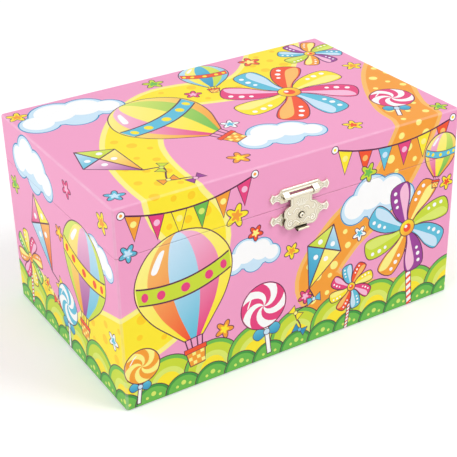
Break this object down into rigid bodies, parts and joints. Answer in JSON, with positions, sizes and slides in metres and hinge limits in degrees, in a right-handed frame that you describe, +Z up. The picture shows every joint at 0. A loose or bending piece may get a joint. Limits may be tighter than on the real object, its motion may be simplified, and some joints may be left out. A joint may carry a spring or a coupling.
{
  "type": "ballerina jewellery box",
  "caption": "Paper-covered rectangular jewellery box with a hinged lid, stamped metal front catch, lined tray with ring rolls, and a wound musical movement that turns a dancer.",
  "frame": {"origin": "middle of the underside, on the surface that the box stands on", "axes": "+X to the right along the front, +Y to the back, +Z up"},
  "size_m": [0.19, 0.1452, 0.105],
  "materials": {
    "printed_paper": "satin laminated print",
    "box_board": "bare fibreboard",
    "lining_cloth": "flocked",
    "roll_cloth": "flocked",
    "mirror_glass": "polished",
    "frame_plastic": "glossy",
    "nickel": "nickel plated, stamped",
    "zinc": "zinc die casting",
    "brass": "turned",
    "steel": "bright",
    "train_plastic": "moulded",
    "stand_plastic": "moulded",
    "figure_plastic": "painted",
    "tulle": "stiff net"
  },
  "bodies": {
    "base": {"base_back_board": "box_board", "base_floor_board": "box_board", "base_front_board": "box_board", "base_left_board": "box_board", "base_right_board": "box_board", "base_wrap": "printed_paper", "catch_lower_plate": "nickel", "catch_nails_lower": "nickel", "comb": "steel", "comb_screws": "steel", "hinge_leaves_base": "nickel", "hinge_nails_base": "nickel", "hinge_pins": "nickel", "key_escutcheon": "nickel", "mainspring": "steel", "movement_frame": "zinc", "movement_screws": "steel", "ring_block": "roll_cloth", "ring_rolls": "roll_cloth", "spindle_foot": "brass", "spring_housing": "brass", "stage_backcloth": "lining_cloth", "stage_deck": "lining_cloth", "stage_partition": "box_board", "tray_lining": "lining_cloth", "underside_sheet": "printed_paper"},
    "lid": {"lid_back_strip": "box_board", "lid_front_strip": "box_board", "lid_left_strip": "box_board", "lid_lining": "lining_cloth", "lid_mirror": "mirror_glass", "lid_presser": "box_board", "lid_right_strip": "box_board", "lid_top_board": "box_board", "lid_wrap": "printed_paper", "mirror_frame": "frame_plastic", "hinge_leaves_lid": "nickel", "hinge_nails_lid": "nickel", "catch_upper_plate": "nickel", "catch_pin": "nickel", "catch_nails_upper": "nickel"},
    "catch_flap": {"catch_flap": "nickel"},
    "winding": {"winding_key": "nickel", "winding_arbor": "steel", "drive_wheel": "brass"},
    "cylinder": {"cylinder_pinion": "brass", "pin_cylinder": "brass", "cylinder_end_wheel": "brass", "cylinder_arbor": "steel"},
    "idler": {"idler_gear": "train_plastic"},
    "governor": {"governor_fan": "train_plastic"},
    "dancer": {"spindle_shaft": "steel", "spindle_pinion": "brass", "dancer_stand": "stand_plastic", "dancer_spring": "steel", "dancer_figure": "figure_plastic", "dancer_tutu": "tulle"},
    "stop_wire": {"stop_wire": "steel"}
  },
  "joints": [
    {"name": "lid_hinge", "type": "hinge", "parent": "base", "child": "lid", "pos_m": [0, 0.0633, 0.0807], "axis": [-1, 0, 0], "range_deg": [0, 100]},
    {"name": "catch_hinge", "type": "hinge", "parent": "lid", "child": "catch_flap", "pos_m": [0, -0.0626, 0.0862], "axis": [-1, 0, 0], "range_deg": [0, 150]},
    {"name": "key_turn", "type": "hinge", "parent": "base", "child": "winding", "pos_m": [0, 0.0554, 0.028], "axis": [0, 1, 0], "continuous": true},
    {"name": "cylinder_turn", "type": "hinge", "parent": "base", "child": "cylinder", "pos_m": [0.0242, 0.0363, 0.028], "axis": [1, 0, 0], "continuous": true},
    {"name": "idler_turn", "type": "hinge", "parent": "base", "child": "idler", "pos_m": [0.037, 0.0363, 0.016], "axis": [1, 0, 0], "continuous": true},
    {"name": "governor_turn", "type": "hinge", "parent": "base", "child": "governor", "pos_m": [0.041, 0.0267, 0.016], "axis": [1, 0, 0], "continuous": true},
    {"name": "dancer_turn", "type": "hinge", "parent": "base", "child": "dancer", "pos_m": [0, 0.0363, 0.046], "axis": [0, 0, 1], "continuous": true},
    {"name": "stop_wire_lift", "type": "slide", "parent": "base", "child": "stop_wire", "axis": [0, 0, 1], "range_m": [0, 0.0041]}
  ],
  "couplings": [
    {"joint": "cylinder_turn", "follows": "key_turn", "ratio": -3},
    {"joint": "idler_turn", "follows": "key_turn", "ratio": 9},
    {"joint": "governor_turn", "follows": "key_turn", "ratio": -27},
    {"joint": "dancer_turn", "follows": "key_turn", "ratio": -3},
    {"joint": "stop_wire_lift", "follows": "lid_hinge", "m_per_rad": 0.0022918}
  ]
}
